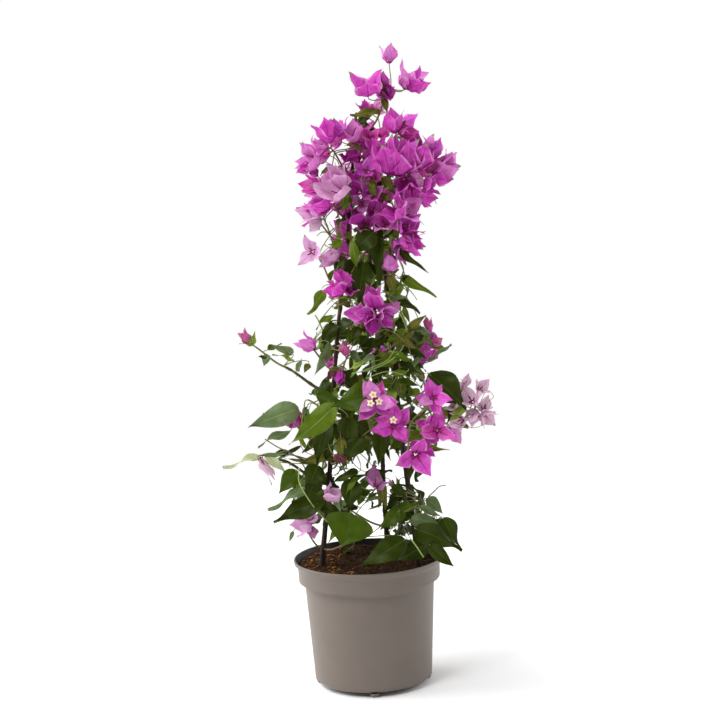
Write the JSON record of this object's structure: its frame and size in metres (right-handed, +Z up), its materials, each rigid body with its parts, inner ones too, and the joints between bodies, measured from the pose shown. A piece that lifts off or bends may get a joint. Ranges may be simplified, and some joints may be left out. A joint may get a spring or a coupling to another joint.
{
  "type": "bougainvillea bush in a pot",
  "caption": "Slender bougainvillea with magenta papery bracts over dark pointed leaves, grown tall on leaning woody stems from a plain round plastic pot of soil",
  "frame": {"origin": "the middle of the flat underside that the pot stands on", "axes": "+Z up through the middle of the pot, +X to the right as the plant is seen from its front, +Y away from the viewer to its back"},
  "size_m": [0.3054, 0.2199, 0.7091],
  "materials": {
    "pot": "satin",
    "soil": "rough",
    "bark": "rough",
    "green_wood": "matte",
    "leaves": "satin",
    "blossom": "matte"
  },
  "bodies": {
    "root": {"pot": "pot", "soil": "soil", "stem_left": "bark", "stem_right": "bark", "stem_back": "bark", "bough_upper_right": "green_wood", "bough_far_left": "green_wood", "bough_right": "green_wood", "bough_low_left": "green_wood", "bough_back_upper": "green_wood", "bough_back_low_left": "green_wood", "bough_back_low_right": "green_wood", "top_blossom": "blossom", "upper_left_blossom": "blossom", "pale_left_blossom": "blossom", "left_tip_blossom": "blossom", "upper_right_blossom": "blossom", "right_crown_blossom": "blossom", "upper_heart_blossom": "blossom", "middle_heart_blossom": "blossom", "right_small_blossom": "blossom", "dark_upper_leaves": "leaves", "left_pair_blossom": "blossom", "left_bright_blossom": "blossom", "middle_blossom": "blossom", "middle_right_leaves": "leaves", "small_left_blossom": "blossom", "far_left_spray": "blossom", "right_pair_blossom": "blossom", "right_tangle": "leaves", "left_tangle": "blossom", "star_blossom": "blossom", "faded_spray": "blossom", "right_leaves": "leaves", "left_core_leaves": "blossom", "left_leaves": "leaves", "low_left_spray": "blossom", "lower_left_leaves": "leaves", "front_core_leaves": "leaves", "low_pair_blossom": "blossom", "low_left_blossom": "blossom", "front_leaves": "leaves", "low_right_leaves": "leaves", "lower_right_leaves": "leaves", "left_side_blossom": "blossom", "right_side_blossom": "blossom", "left_side_leaves": "leaves", "right_side_leaves": "leaves", "back_top_blossom": "blossom", "back_left_blossom": "blossom", "back_right_blossom": "blossom", "back_heart_blossom": "blossom", "left_back_leaves": "blossom", "right_back_leaves": "blossom", "back_middle_leaves": "blossom", "back_low_left_leaves": "blossom", "back_low_right_leaves": "blossom", "back_core_leaves": "blossom", "back_foot_left_leaves": "leaves", "back_foot_right_leaves": "leaves"}
  },
  "joints": []
}
